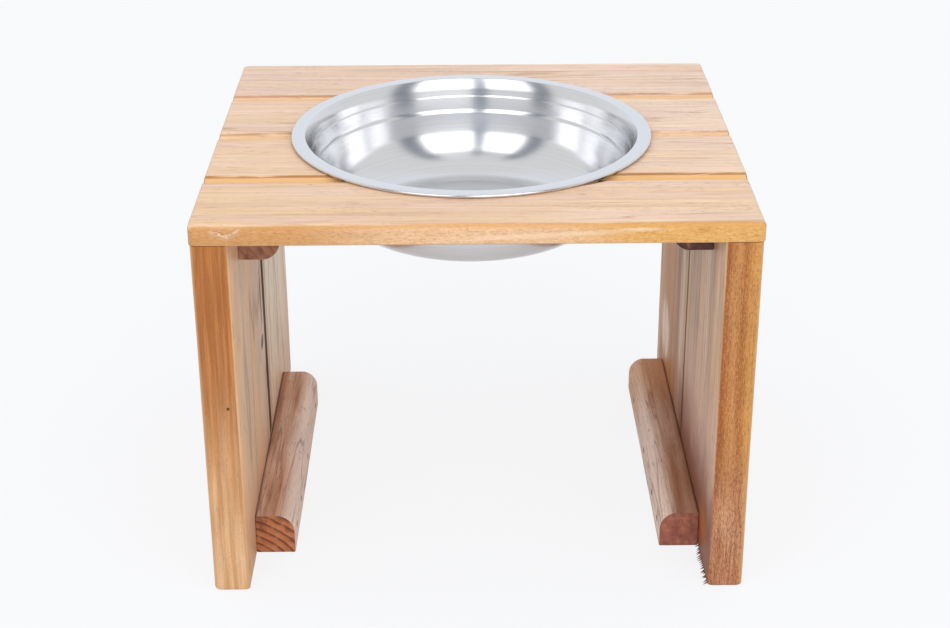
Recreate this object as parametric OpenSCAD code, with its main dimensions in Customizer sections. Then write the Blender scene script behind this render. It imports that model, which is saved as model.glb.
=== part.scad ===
// Raised dog feeder: a top of coved tongue-and-groove boards on two board sides,
// held together by four nailed battens, with a pressed steel bowl that lifts out.
// X runs across the stand, Y from front to back and Z up from the floor.

/* [Top boards] */
// Length of the top boards
top_len = 342; // [320:1:400]
// Thickness of the top boards
top_t = 12.5; // [11:0.5:18]
// Width that the front board covers
front_board_w = 80; // [70:1:110]
// Width that each of the two middle boards covers
middle_board_w = 82; // [70:1:110]
// Width that the rear board covers
rear_board_w = 79; // [70:1:110]
// Radius of the cove milled along each joint
cove_r = 9.5; // [7:0.5:14]
// Depth of the cove at the joint
cove_depth = 2.8; // [1.5:0.1:3.5]
// Thickness of the tongues
tongue_t = 3.6; // [2.5:0.1:4]
// Reach of the tongues past the joint
tongue_len = 5; // [3:0.5:8]
// Height of the tongues above the underside
tongue_lift = 3; // [2:0.1:4]
// Round on the front board's top edge
nose_r = 4; // [2:0.5:6]
// Round on the other outer edges of the top
ease_r = 1.5; // [1:0.5:3]
// Round on the top's four corners, seen from above
plan_corner_r = 4.5; // [2:0.5:8]

/* [Sides] */
// Height of the side boards
side_h = 240; // [150:1:320]
// Thickness of the side boards
side_t = 22.5; // [18:0.5:28]
// Width of the front board in each side
front_side_w = 158; // [120:1:190]
// Overhang of the top past the sides' outer faces
end_overhang = 1; // [0:0.5:12]
// Overhang of the top past the sides' front and rear edges
front_overhang = 0; // [0:0.5:12]
// Round on the sides' upright edges
side_edge_r = 2.5; // [1:0.5:5]
// Round on the sides' lower front and rear corners
foot_corner_r = 2; // [1:0.5:10]

/* [Battens] */
// Width of the battens, away from the sides
batten_w = 26; // [22:1:34]
// Height of the two left battens
left_batten_h = 28; // [24:0.5:36]
// Height of the two right battens
right_batten_h = 25.5; // [22:0.5:36]
// Round on the battens' free edge
batten_round = 12.5; // [6:0.5:15]
// Distance of the left battens behind the sides' front edge
left_setback = 45.5; // [30:0.5:60]
// Distance of the right battens behind the sides' front edge
right_setback = 49.5; // [30:0.5:60]
// Length of the lower left batten
lower_left_len = 215; // [190:1:250]
// Length of the lower right batten
lower_right_len = 234; // [190:1:250]
// Length of the two upper battens
upper_len = 236; // [215:1:250]

/* [Bowl] */
// Sideways place of the bowl's centre
bowl_x = -2.2; // [-6:0.1:6]
// Place of the bowl's centre, front to back
bowl_y = 0.8; // [-6:0.1:6]
// Inside radius of the bowl's lower wall
wall_r = 104; // [90:1:106]
// Inside depth, from the top of the rim to the base
bowl_depth = 63.5; // [60:0.5:110]
// Angle at which the curved lower wall meets the flat base
base_angle = 10; // [5:1:30]
// Depth of the lower crease below the top of the rim
step_drop = 23.5; // [20:0.5:26]
// Radius of the hollow above the lower crease
step_hollow_r = 8; // [4:0.5:10]
// Lean of the wall just above each crease
crease_lean = 35; // [20:1:50]
// Lean of the band between the two creases
band_lean = 3; // [0:0.5:8]
// Depth of the upper crease below the top of the rim
shoulder_drop = 12.5; // [10:0.5:15]
// Radius of the hollow above the upper crease
shoulder_hollow_r = 3.5; // [2:0.5:5]
// Lean of the wall above the upper crease
mouth_lean = 9; // [4:1:15]
// Radius of the flare at the mouth
flare_r = 26; // [6:0.5:26]
// Least height of the straight wall below the flare
least_throat = 0.1; // [0.1:0.1:1]
// Lean at which the flare meets the rim
flare_lean = 35; // [25:1:35]
// Width of the flat rim
rim_w = 9; // [6:0.1:12]
// Height of the rolled rim
rim_h = 2.2; // [2.2:0.1:4]
// Thickness of the steel
steel_t = 0.8; // [0.6:0.1:1]
// Angle at which the bowl leans forward on the front of its rim
bowl_tilt = 0.6; // [0:0.1:1]

/* [Opening in the top] */
// Room round the bowl in its sawn opening
hole_clear = 2.4; // [1:0.1:4]
// Extra radius of the flatter saw cut in the front board
flat_cut_extra = 37; // [0:1:60]
// Distance that the flatter cut stays behind the round one
flat_cut_lag = 2; // [0:0.1:3]
// Sideways drift of the flatter cut
flat_cut_drift = 4.4; // [-6:0.1:6]

/* [Nails] */
// Diameter of the nails
nail_d = 1.8; // [1.4:0.1:2.4]
// Diameter of the nail heads
nail_head_d = 3.2; // [2.8:0.1:4]
// Thickness of the nail heads
nail_head_t = 1.2; // [0.8:0.1:2]
// Length of the nails' points
nail_point = 3; // [2:0.5:5]
// Depth of the heads below the wood's surface
nail_set = 0.4; // [0:0.1:1]
// Bite of the nails in the sides
side_bite = 13; // [8:1:15]
// Bite of the nails in the top boards
top_bite = 8; // [5:0.5:9]
// Distance of the sideways nails from the battens' square edge
nail_edge = 11; // [5:0.5:11]
// Distances of the sideways nails from the battens' front ends
nail_marks = [18, 52, 112, 190]; // [8:1:205]
// Distance of the upright nails behind the middle of each board's seat
top_nail_lag = 8; // [6:1:14]

/* [Fits] */
// Gap between neighbouring top boards at a joint
joint_gap = 0.3; // [0.1:0.1:0.8]
// Room above and below a tongue in its groove
tongue_clear = 0.2; // [0.1:0.05:0.4]
// Room past the end of a tongue in its groove
tongue_end_clear = 0.5; // [0.2:0.1:1]
// Gap between the two boards of a side
seam_gap = 0.5; // [0.1:0.1:0.9]
// Room round a nail in its hole
nail_clear = 0.05; // [0.02:0.01:0.1]
// Room between the rim and the boards
rim_gap = 0.2; // [0.1:0.1:0.5]

/* [Hidden] */
$fn = 96;
LEFT = -1;
RIGHT = 1;
past = 1; // how far a cutter runs past the face that it cuts

// Depth of the top, and the joint lines between its boards from front to back
top_depth = front_board_w + 2 * middle_board_w + rear_board_w;
front_y = -top_depth / 2;
joint_ys = [for (i = [0:2]) front_y + front_board_w + i * middle_board_w];
board_edges = concat([front_y], joint_ys, [-front_y]);
top_z = side_h + top_t;

// Faces of the sides
side_out_x = top_len / 2 - end_overhang;
side_in_x = side_out_x - side_t;
side_front_y = front_y + front_overhang;
side_depth = top_depth - 2 * front_overhang;
rear_side_w = side_depth - front_side_w - seam_gap;

// Rise and spread of an arc in the bowl's wall, whose lean from the upright goes from a to b
function arc_rise(r, a, b) = r * abs(sin(a) - sin(b));
function arc_spread(r, a, b) = r * abs(cos(a) - cos(b));

// Heights and inside radii of the bowl, from the base up to the rim
seat_z = top_z + rim_gap;
rim_top_z = seat_z + rim_h;
base_z = rim_top_z - bowl_depth;
step_z = rim_top_z - step_drop;
band_z = step_z + arc_rise(step_hollow_r, crease_lean, band_lean);
shoulder_z = rim_top_z - shoulder_drop;
mouth_z = shoulder_z + arc_rise(shoulder_hollow_r, crease_lean, mouth_lean);
flare_room = rim_top_z - mouth_z - least_throat;
flare_used_r = min(flare_r, flare_room / (sin(flare_lean) - sin(mouth_lean)));
flare_z = rim_top_z - arc_rise(flare_used_r, mouth_lean, flare_lean);
base_curve_r = (step_z - base_z) / cos(base_angle);
base_r = wall_r - base_curve_r * (1 - sin(base_angle));
band_r = wall_r + arc_spread(step_hollow_r, crease_lean, band_lean);
shoulder_r = band_r + (shoulder_z - band_z) * tan(band_lean);
throat_r = shoulder_r + arc_spread(shoulder_hollow_r, crease_lean, mouth_lean);
flare_foot_r = throat_r + (flare_z - mouth_z) * tan(mouth_lean);
mouth_r = flare_foot_r + arc_spread(flare_used_r, mouth_lean, flare_lean);
rim_r = mouth_r + rim_w;
hole_r = mouth_r + steel_t + hole_clear;

// Heights, front ends and lengths of the battens on one side
function batten_h(side) = side == LEFT ? left_batten_h : right_batten_h;
function batten_y(side) = side_front_y + (side == LEFT ? left_setback : right_setback);
function lower_len(side) = side == LEFT ? lower_left_len : lower_right_len;

// Points along an arc about [x, y] from angle a0 to a1
function arc(x, y, r, a0, a1, steps = 12) =
    [for (i = [0:steps]) let (a = a0 + (a1 - a0) * i / steps) [x + r * cos(a), y + r * sin(a)]];

// Middle of the stretch that the spans a0 to a1 and b0 to b1 share
function shared_middle(a0, a1, b0, b1) = (max(a0, b0) + min(a1, b1)) / 2;

// Puts a piece modelled on the right on the given side
module on_side(side) {
    if (side == LEFT) mirror([1, 0, 0]) children();
    else children();
}

// Cutter that rounds the upright edge at the origin of a solid lying towards +X and +Y
module edge_round(r, length) {
    difference() {
        translate([-past, -past, 0]) cube([r + past, r + past, length]);
        translate([r, r, -past]) cylinder(r = r, h = length + 2 * past);
    }
}

// The same cutter for an edge along X of a solid lying towards +Y and +Z
module edge_round_x(r, length) {
    rotate([90, 0, 90]) edge_round(r, length);
}

// The same cutter for an edge along Y of a solid lying towards +X and +Z
module edge_round_y(r, length) {
    rotate([-90, 0, 0]) mirror([0, 1, 0]) edge_round(r, length);
}

// Section of a board from y0 to y1, with a groove in front and a tongue behind where asked
module board_section(y0, y1, groove, tongue) {
    half_gap = joint_gap / 2;
    front = groove ? y0 + half_gap : y0;
    rear = tongue ? y1 - half_gap : y1;
    difference() {
        union() {
            translate([front, 0]) square([rear - front, top_t]);
            if (tongue)
                translate([rear - past, tongue_lift]) square([tongue_len + half_gap + past, tongue_t]);
        }
        if (groove)
            translate([front - past, tongue_lift - tongue_clear])
                square([tongue_len - half_gap + tongue_end_clear + past, tongue_t + 2 * tongue_clear]);
    }
}

// Board number i, counted from the front, at full length with its coves and eased ends
module whole_board(i) {
    y0 = board_edges[i];
    y1 = board_edges[i + 1];
    difference() {
        translate([-top_len / 2, 0, side_h]) rotate([90, 0, 90])
            linear_extrude(top_len) board_section(y0, y1, i > 0, i < 3);
        for (y = joint_ys)
            translate([-top_len / 2 - past, y, top_z + cove_r - cove_depth]) rotate([0, 90, 0])
                cylinder(r = cove_r, h = top_len + 2 * past);
        for (side = [LEFT, RIGHT]) on_side(side)
            translate([top_len / 2, y0 - past, top_z]) mirror([0, 0, 1]) mirror([1, 0, 0])
                edge_round_y(ease_r, y1 - y0 + 2 * past + tongue_len);
        top_nail_holes();
    }
}

// Round bowl opening, from below the boards to above them
module round_opening() {
    translate([bowl_x, bowl_y, side_h - past]) cylinder(r = hole_r, h = top_t + 2 * past);
}

// Flatter hand-sawn opening in the front board
module flat_opening() {
    translate([bowl_x + flat_cut_drift, bowl_y + flat_cut_extra + flat_cut_lag, side_h - past])
        cylinder(r = hole_r + flat_cut_extra, h = top_t + 2 * past, $fn = 180);
}

// Rounds the long outer edge and the two plan corners of the front board
module front_edge_cut(top_r) {
    translate([-top_len / 2 - past, front_y, side_h]) edge_round_x(ease_r, top_len + 2 * past);
    translate([-top_len / 2 - past, front_y, top_z]) mirror([0, 0, 1])
        edge_round_x(top_r, top_len + 2 * past);
    for (side = [LEFT, RIGHT]) on_side(side)
        translate([top_len / 2, front_y, side_h - past]) mirror([1, 0, 0])
            edge_round(plan_corner_r, top_t + 2 * past);
}

module top_front_board() {
    color("BurlyWood") difference() {
        whole_board(0);
        flat_opening();
        front_edge_cut(nose_r);
    }
}

module top_rear_board() {
    color("BurlyWood") difference() {
        whole_board(3);
        round_opening();
        mirror([0, 1, 0]) front_edge_cut(ease_r);
    }
}

// The part of a middle board that the opening leaves on one side
module middle_board(i, side) {
    color("BurlyWood") difference() {
        whole_board(i);
        round_opening();
        on_side(-side) translate([0, front_y, side_h - past])
            cube([top_len, top_depth, top_t + 2 * past]);
    }
}

module top_second_board_left() { middle_board(1, LEFT); }
module top_second_board_right() { middle_board(1, RIGHT); }
module top_third_board_left() { middle_board(2, LEFT); }
module top_third_board_right() { middle_board(2, RIGHT); }

// Side board of the given width standing from y0, with its outer upright edges rounded
module side_board(side, y0, width, outer_front) {
    color("Peru") difference() {
        on_side(side) translate([side_in_x, y0, 0]) difference() {
            cube([side_t, width, side_h]);
            translate([0, outer_front ? 0 : width, 0]) mirror([0, outer_front ? 0 : 1, 0]) {
                translate([0, 0, -past]) edge_round(side_edge_r, side_h + 2 * past);
                translate([side_t, 0, -past]) mirror([1, 0, 0]) edge_round(side_edge_r, side_h + 2 * past);
                translate([-past, 0, 0]) edge_round_x(foot_corner_r, side_t + 2 * past);
            }
        }
        side_nail_holes(side);
    }
}

module left_side_front_board() { side_board(LEFT, side_front_y, front_side_w, true); }
module left_side_rear_board() {
    side_board(LEFT, side_front_y + front_side_w + seam_gap, rear_side_w, false);
}
module right_side_front_board() { side_board(RIGHT, side_front_y, front_side_w, true); }
module right_side_rear_board() {
    side_board(RIGHT, side_front_y + front_side_w + seam_gap, rear_side_w, false);
}

// Batten lying on the floor against the right side, with its free upper edge rounded
module batten_bar(h, length) {
    rotate([90, 0, 0]) mirror([0, 0, 1]) linear_extrude(length) difference() {
        translate([-batten_w, 0]) square([batten_w, h]);
        difference() {
            translate([-batten_w - past, h - batten_round]) square(batten_round + past);
            translate([-batten_w + batten_round, h - batten_round]) circle(batten_round);
        }
    }
}

module lower_batten(side) {
    color("RosyBrown") difference() {
        on_side(side) translate([side_in_x, batten_y(side), 0])
            batten_bar(batten_h(side), lower_len(side));
        side_nail_holes(side);
    }
}

// The upper battens are the same bars turned over against the underside of the top
module upper_batten(side) {
    color("RosyBrown") difference() {
        on_side(side) translate([side_in_x, batten_y(side), side_h]) mirror([0, 0, 1])
            batten_bar(batten_h(side), upper_len);
        side_nail_holes(side);
        top_nail_holes();
    }
}

module upper_left_batten() { upper_batten(LEFT); }
module upper_right_batten() { upper_batten(RIGHT); }
module lower_left_batten() { lower_batten(LEFT); }
module lower_right_batten() { lower_batten(RIGHT); }

// One nail along +Z with the top of its head at the origin; room widens it into its hole
module nail(length, room = 0) {
    head_r = nail_head_d / 2 + room;
    shank_r = nail_d / 2 + room;
    mouth = room > 0 ? -nail_set - past : 0;
    rotate_extrude($fn = 32) polygon([
        [0, mouth], [head_r, mouth], [head_r, nail_head_t + room], [shank_r, nail_head_t + room],
        [shank_r, length - nail_point + room], [0, length + room]
    ]);
}

// Nails driven up through an upper batten, one into each top board
module top_nails(side, room = 0) {
    y0 = batten_y(side);
    for (i = [0:3])
        translate([side * (side_in_x - batten_w / 2),
                   shared_middle(y0, y0 + upper_len, board_edges[i], board_edges[i + 1]) + top_nail_lag,
                   side_h - batten_h(side) + nail_set])
            nail(batten_h(side) + top_bite - nail_set, room);
}

// Nails driven sideways through a batten into a side, at the given height
module side_nails(side, z, room = 0) {
    on_side(side) for (mark = nail_marks)
        translate([side_in_x - batten_w + nail_set, batten_y(side) + mark, z]) rotate([0, 90, 0])
            nail(batten_w + side_bite - nail_set, room);
}

module upper_side_nails(side, room = 0) { side_nails(side, side_h - nail_edge, room); }
module lower_side_nails(side, room = 0) { side_nails(side, nail_edge, room); }

module top_nail_holes() {
    for (side = [LEFT, RIGHT]) top_nails(side, nail_clear);
}

module side_nail_holes(side) {
    upper_side_nails(side, nail_clear);
    lower_side_nails(side, nail_clear);
}

module upper_left_top_nails() { color("DimGray") top_nails(LEFT); }
module upper_right_top_nails() { color("DimGray") top_nails(RIGHT); }
module upper_left_side_nails() { color("DimGray") upper_side_nails(LEFT); }
module upper_right_side_nails() { color("DimGray") upper_side_nails(RIGHT); }
module lower_left_side_nails() { color("DimGray") lower_side_nails(LEFT); }
module lower_right_side_nails() { color("DimGray") lower_side_nails(RIGHT); }

// Points inside an arc of the bowl's wall about [x, z], as [radius, height, lean below, lean above].
// Way is 1 where the wall is hollow towards the middle of the bowl and -1 where it flares.
function wall_arc(x, z, r, a, b, way, steps) =
    [for (i = [1:steps - 1]) let (lean = a + (b - a) * i / steps)
        [x + way * r * cos(lean), z - way * r * sin(lean), lean, lean]];

// Hollow above a crease at [r, z], from the crease's lean to the given one
function wall_hollow(r, z, hollow_r, lean) = wall_arc(
    r - hollow_r * cos(crease_lean), z + hollow_r * sin(crease_lean), hollow_r, crease_lean, lean, 1, 6
);

// Inner face of the pressed bowl, from the middle of the base to the mouth
function bowl_wall() = concat(
    [[0, base_z, 90, 90], [base_r, base_z, 90, 90 - base_angle]],
    wall_arc(wall_r - base_curve_r, step_z, base_curve_r, 90 - base_angle, 0, 1, 12),
    [[wall_r, step_z, 0, crease_lean]],
    wall_hollow(wall_r, step_z, step_hollow_r, band_lean),
    [[band_r, band_z, band_lean, band_lean], [shoulder_r, shoulder_z, band_lean, crease_lean]],
    wall_hollow(shoulder_r, shoulder_z, shoulder_hollow_r, mouth_lean),
    [[throat_r, mouth_z, mouth_lean, mouth_lean], [flare_foot_r, flare_z, mouth_lean, mouth_lean]],
    wall_arc(flare_foot_r + flare_used_r * cos(mouth_lean), flare_z - flare_used_r * sin(mouth_lean),
             flare_used_r, mouth_lean, flare_lean, -1, 8),
    [[mouth_r, rim_top_z, flare_lean, 90]]
);

// Place on the outer face, one sheet thickness out from a point of the wall
function wall_back(p) =
    [p[0], p[1]] + steel_t * [cos(p[2]) + cos(p[3]), -sin(p[2]) - sin(p[3])] / (1 + cos(p[2] - p[3]));

// The flat rim ends in a half roll. The front of its lowest line rests on the front board
module food_bowl() {
    wall = bowl_wall();
    roll_r = rim_h / 2;
    roll_x = rim_r - roll_r;
    roll_z = rim_top_z - roll_r;
    color("Silver") translate([bowl_x, bowl_y - roll_x, seat_z])
    rotate([bowl_tilt, 0, 0])
    translate([0, roll_x, -seat_z])
    rotate_extrude($fn = 144) polygon(concat(
        [for (p = wall) [p[0], p[1]]],
        arc(roll_x, roll_z, roll_r, 90, -90),
        arc(roll_x, roll_z, roll_r - steel_t, -90, 90),
        [for (i = [len(wall) - 1:-1:0]) wall_back(wall[i])]
    ));
}

top_front_board();
top_second_board_left();
top_second_board_right();
top_third_board_left();
top_third_board_right();
top_rear_board();
left_side_front_board();
left_side_rear_board();
right_side_front_board();
right_side_rear_board();
upper_left_batten();
upper_right_batten();
lower_left_batten();
lower_right_batten();
food_bowl();
upper_left_top_nails();
upper_right_top_nails();
upper_left_side_nails();
upper_right_side_nails();
lower_left_side_nails();
lower_right_side_nails();
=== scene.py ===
from math import cos, pi, radians, sin, sqrt, tan

import bmesh
import bpy
from mathutils import Matrix, Vector, noise


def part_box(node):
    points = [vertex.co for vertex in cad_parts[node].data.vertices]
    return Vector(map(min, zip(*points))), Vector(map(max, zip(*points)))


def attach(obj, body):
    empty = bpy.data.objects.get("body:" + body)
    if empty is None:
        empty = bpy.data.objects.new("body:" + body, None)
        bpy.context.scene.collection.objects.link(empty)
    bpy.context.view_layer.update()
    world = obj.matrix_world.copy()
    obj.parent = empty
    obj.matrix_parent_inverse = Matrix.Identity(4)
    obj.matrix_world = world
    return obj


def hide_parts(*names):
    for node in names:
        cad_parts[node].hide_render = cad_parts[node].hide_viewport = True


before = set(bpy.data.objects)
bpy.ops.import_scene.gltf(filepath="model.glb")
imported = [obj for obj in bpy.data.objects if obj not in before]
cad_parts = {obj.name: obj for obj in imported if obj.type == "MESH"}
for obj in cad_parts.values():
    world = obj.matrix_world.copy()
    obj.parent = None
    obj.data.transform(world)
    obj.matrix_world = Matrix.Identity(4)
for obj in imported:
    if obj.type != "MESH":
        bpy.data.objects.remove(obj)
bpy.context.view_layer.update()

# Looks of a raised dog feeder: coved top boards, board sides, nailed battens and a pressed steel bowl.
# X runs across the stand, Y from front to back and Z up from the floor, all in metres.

MM = 0.001
LEFT, RIGHT = -1, 1
SIDES = {LEFT: "left", RIGHT: "right"}

# Top boards, measured from the frame
front_low, front_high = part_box("top_front_board")
UNDER_Z, TOP_Z = front_low.z, front_high.z
TOP_HALF = front_high.x
FRONT_Y = front_low.y
REAR_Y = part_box("top_rear_board")[1].y
HALF_GAP = 0.15 * MM
JOINTS = [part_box(node)[0].y - HALF_GAP
          for node in ("top_second_board_left", "top_third_board_left", "top_rear_board")]
BOARD_EDGES = [FRONT_Y, *JOINTS, REAR_Y]
TONGUE_LEN = front_high.y - JOINTS[0]
TONGUE_Z = (UNDER_Z + 3.0 * MM, UNDER_Z + 6.6 * MM)
SLOT_Z = (UNDER_Z + 2.8 * MM, UNDER_Z + 6.8 * MM)
SLOT_LEN = TONGUE_LEN + 0.5 * MM
COVE_R, COVE_DEPTH = 9.5 * MM, 2.8 * MM
COVE_HALF = sqrt(COVE_R ** 2 - (COVE_R - COVE_DEPTH) ** 2)
END_EASE, LOW_EASE, REAR_EASE = 1.5 * MM, 1.0 * MM, 1.5 * MM
RIGHT_END_EASE = 3.4 * MM
PLAN_CORNER = 4.5 * MM
CHIP_X, CHIP_Z, CHIP_DROP = -149 * MM, TOP_Z - 4.2 * MM, 1.9 * MM

# Bowl and its opening
bowl_low, bowl_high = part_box("food_bowl")
BOWL = ((bowl_low + bowl_high) / 2).xy
RIM_R = (bowl_high.x - bowl_low.x) / 2
SEAT_Z = TOP_Z + 0.2 * MM
RIM_W, RIM_H = 9.0 * MM, 2.2 * MM
RIM_Z = SEAT_Z + RIM_H
BOWL_TILT = 0.6
STEEL = 0.8 * MM
HOLE_R = RIM_R - RIM_W + STEEL + 2.4 * MM
FLAT_CUT_R = HOLE_R + 37 * MM
FLAT_CUT = BOWL + Vector((4.4, 39.0)) * MM

# Sides
side_low, side_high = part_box("right_side_front_board")
SIDE_IN, SIDE_OUT = side_low.x, side_high.x
SIDE_H = side_high.z
SEAM_Y = side_high.y
SIDE_EDGE, FOOT_CORNER = 2.5 * MM, 2.0 * MM
BATTEN_Z = (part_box("lower_left_batten")[1].z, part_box("upper_left_batten")[0].z)

# Nails
NAIL_MARKS = [mark * MM for mark in (18, 52, 112, 190)]
NAIL_EDGE, TOP_NAIL_LAG, NAIL_HOLE_R, NAIL_HOLE_DEPTH = 11 * MM, 8 * MM, 1.72 * MM, 0.9 * MM

# Mesh: sections near a board's end in millimetres, steps along it, and degrees past which an edge is sharp
BOARD_END = (0, 0.25, 0.6, 1.1, 1.8, 2.8, 4.5)
BATTEN_END = (0, 0.15, 0.4, 0.8, 1.5, 3)
TOP_STEP, SIDE_STEP, BATTEN_STEP = 3 * MM, 6 * MM, 5 * MM
BOARD_SHARP, BATTEN_SHARP, BOWL_SHARP = 32, 14, 60


def soft_step(low, high, value):
    """0 below low, 1 above high and a smooth rise between."""
    t = min(max((value - low) / (high - low), 0.0), 1.0)
    return t * t * (3 - 2 * t)


def ripple(point, size, seed):
    """Smooth noise from about -1 to 1 whose bumps are about the given size."""
    return noise.noise(Vector(point) / size + Vector((seed, 2.3 * seed, 3.7 * seed)))


def corner_back(distance, radius):
    """How far a round of that radius falls back at a distance from the end."""
    if distance >= radius:
        return 0.0
    return radius - sqrt(radius ** 2 - (radius - distance) ** 2)


def spread(start, end, count):
    """Evenly spaced values from start to end."""
    return [start + (end - start) * i / (count - 1) for i in range(count)]


def stations(length, step, dense=BOARD_END):
    """Distances along a board, closer together near both ends, where dense is in millimetres."""
    ends = [d * MM for d in dense]
    count = max(2, round((length - 2 * ends[-1]) / step) + 1)
    middle = spread(ends[-1], length - ends[-1], count)
    return ends[:-1] + middle + [length - d for d in reversed(ends[:-1])]


def add_object(name, data):
    """Object for a mesh, lamp or camera, linked to the scene."""
    made = bpy.data.objects.new(name, data)
    bpy.context.scene.collection.objects.link(made)
    return made


def finish_mesh(name, bm, sharp_angle=BOARD_SHARP):
    """Object from a bmesh, with merged points, outward faces and smooth shading up to an angle."""
    bmesh.ops.remove_doubles(bm, verts=bm.verts, dist=0.004 * MM)
    bmesh.ops.dissolve_degenerate(bm, dist=0.002 * MM, edges=bm.edges)
    bmesh.ops.recalc_face_normals(bm, faces=bm.faces)
    mesh = bpy.data.meshes.new(name)
    bm.to_mesh(mesh)
    bm.free()
    mesh.shade_smooth()
    mesh.set_sharp_from_angle(angle=radians(sharp_angle))
    return add_object(name, mesh)


def loft(name, rings, caps=None, sharp_angle=BOARD_SHARP):
    """Piece through closed rings of equal length. caps lists the faces over an end by ring index."""
    bm = bmesh.new()
    rows = [[bm.verts.new(point) for point in ring] for ring in rings]
    count = len(rows[0])
    for row, after in zip(rows, rows[1:]):
        for i in range(count):
            j = (i + 1) % count
            bm.faces.new((row[i], row[j], after[j], after[i]))
    for row in (rows[0], rows[-1]):
        for cap in caps or [range(count)]:
            bm.faces.new([row[i] for i in cap])
    return finish_mesh(name, bm, sharp_angle)


def dress(piece, material, body, slot, *nodes):
    """Gives a piece its material and body, and lets it stand for CAD nodes. The slot is not used."""
    piece.data.materials.clear()
    piece.data.materials.append(material)
    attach(piece, body)
    if nodes:
        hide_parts(*nodes)


# Node trees

def linear(tone):
    """Linear colour from a triple of 0 to 255 screen values. Anything else stays as it is."""
    if not isinstance(tone, tuple) or len(tone) != 3:
        return tone
    shares = [value / 255 for value in tone]
    return (*(s / 12.92 if s <= 0.04045 else ((s + 0.055) / 1.055) ** 2.4 for s in shares), 1.0)


class Nodes:
    """A node tree built with short calls, most of which return an output socket.

    A colour is a socket, a triple of screen values, or four linear values.
    """

    def __init__(self, tree):
        self.tree = tree

    def node(self, kind, **settings):
        made = self.tree.nodes.new("ShaderNode" + kind)
        for key, value in settings.items():
            setattr(made, key, value)
        return made

    def feed(self, socket, value):
        """Links a socket to another one, or sets its value."""
        if isinstance(value, bpy.types.NodeSocket):
            self.tree.links.new(value, socket)
        else:
            socket.default_value = value

    def wire(self, made, *values):
        """Feeds a node's first inputs in order."""
        for socket, value in zip(made.inputs, values):
            self.feed(socket, value)
        return made

    def fill(self, made, **values):
        """Feeds a node's inputs by name, where an underscore stands for a space."""
        for key, value in values.items():
            self.feed(made.inputs[key.replace("_", " ")], value)
        return made

    def math(self, operation, a, b=0.0):
        return self.wire(self.node("Math", operation=operation), a, b).outputs[0]

    def plus(self, a, b):
        return self.math("ADD", a, b)

    def minus(self, a, b):
        return self.math("SUBTRACT", a, b)

    def times(self, product, *factors):
        """Product of values, masks and shares."""
        for factor in factors:
            product = self.math("MULTIPLY", product, factor)
        return product

    def vector(self, operation, a, b=(0, 0, 0), c=(0, 0, 0)):
        made = self.wire(self.node("VectorMath", operation=operation), a, b, c)
        return made.outputs["Value" if operation == "LENGTH" else "Vector"]

    def parts(self, vector):
        return self.wire(self.node("SeparateXYZ"), vector).outputs[:]

    def mix(self, share, a, b, blend="MIX"):
        made = self.node("Mix", data_type="RGBA", blend_type=blend)
        self.feed(made.inputs[0], share)
        self.feed(made.inputs[6], linear(a))
        self.feed(made.inputs[7], linear(b))
        return made.outputs[2]

    def mix_shaders(self, share, a, b):
        return self.wire(self.node("MixShader"), share, a, b).outputs[0]

    def ramp(self, value, *stops):
        """Colours or greys at places from 0 to 1, as (place, value) pairs."""
        made = self.node("ValToRGB")
        elements = made.color_ramp.elements
        while len(elements) < len(stops):
            elements.new(0.5)
        for element, (place, tone) in zip(elements, stops):
            element.position = place
            element.color = linear(tone) if isinstance(tone, tuple) else (tone, tone, tone, 1.0)
        return self.wire(made, value).outputs[0]

    def step(self, value, low, high):
        """Smooth rise from 0 at low to 1 at high, or a fall where low is above high."""
        ends = (low, high, 0.0, 1.0) if low < high else (high, low, 1.0, 0.0)
        made = self.node("MapRange", interpolation_type="SMOOTHSTEP")
        return self.wire(made, value, *ends).outputs[0]

    def rise(self, value, base, low, high):
        """The same step from low to high millimetres past a base."""
        return self.step(value, base + low * MM, base + high * MM)

    def either_way(self, value, base, low, high):
        """The same rise on a value's distance from 0."""
        return self.rise(self.math("ABSOLUTE", value), base, low, high)

    def noise(self, vector, scale=1.0, detail=2.0, roughness=0.55, output="Fac"):
        made = self.node("TexNoise")
        self.fill(made, Vector=vector, Scale=scale, Detail=detail, Roughness=roughness)
        return made.outputs[output]


class Shader(Nodes):
    """One material, with the place on the object at hand."""

    def __init__(self, name):
        self.material = bpy.data.materials.new(name)
        self.material.use_nodes = True
        super().__init__(self.material.node_tree)
        self.bsdf = self.tree.nodes["Principled BSDF"]
        self.place = self.node("TexCoord").outputs["Object"]
        self.x, self.y, self.z = self.parts(self.place)

    def set(self, **values):
        """Sets the shader's own inputs."""
        self.fill(self.bsdf, **values)

    def near(self, point, radii):
        """1 at a point, falling to 0 on an ellipsoid round it, whose radii are in millimetres."""
        local = self.vector("SUBTRACT", self.place, point)
        local = self.vector("DIVIDE", local, tuple(r * MM for r in radii))
        return self.step(self.vector("LENGTH", local), 1.0, 0.0)

    def radius(self, centre):
        """Distance from an upright line through a centre."""
        away = self.vector("MULTIPLY_ADD", self.place, (1, 1, 0), (-centre.x, -centre.y, 0))
        return self.vector("LENGTH", away)

    def bump(self, height, distance):
        made = self.fill(self.node("Bump"), Height=height, Distance=distance)
        self.set(Normal=made.outputs[0])


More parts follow.
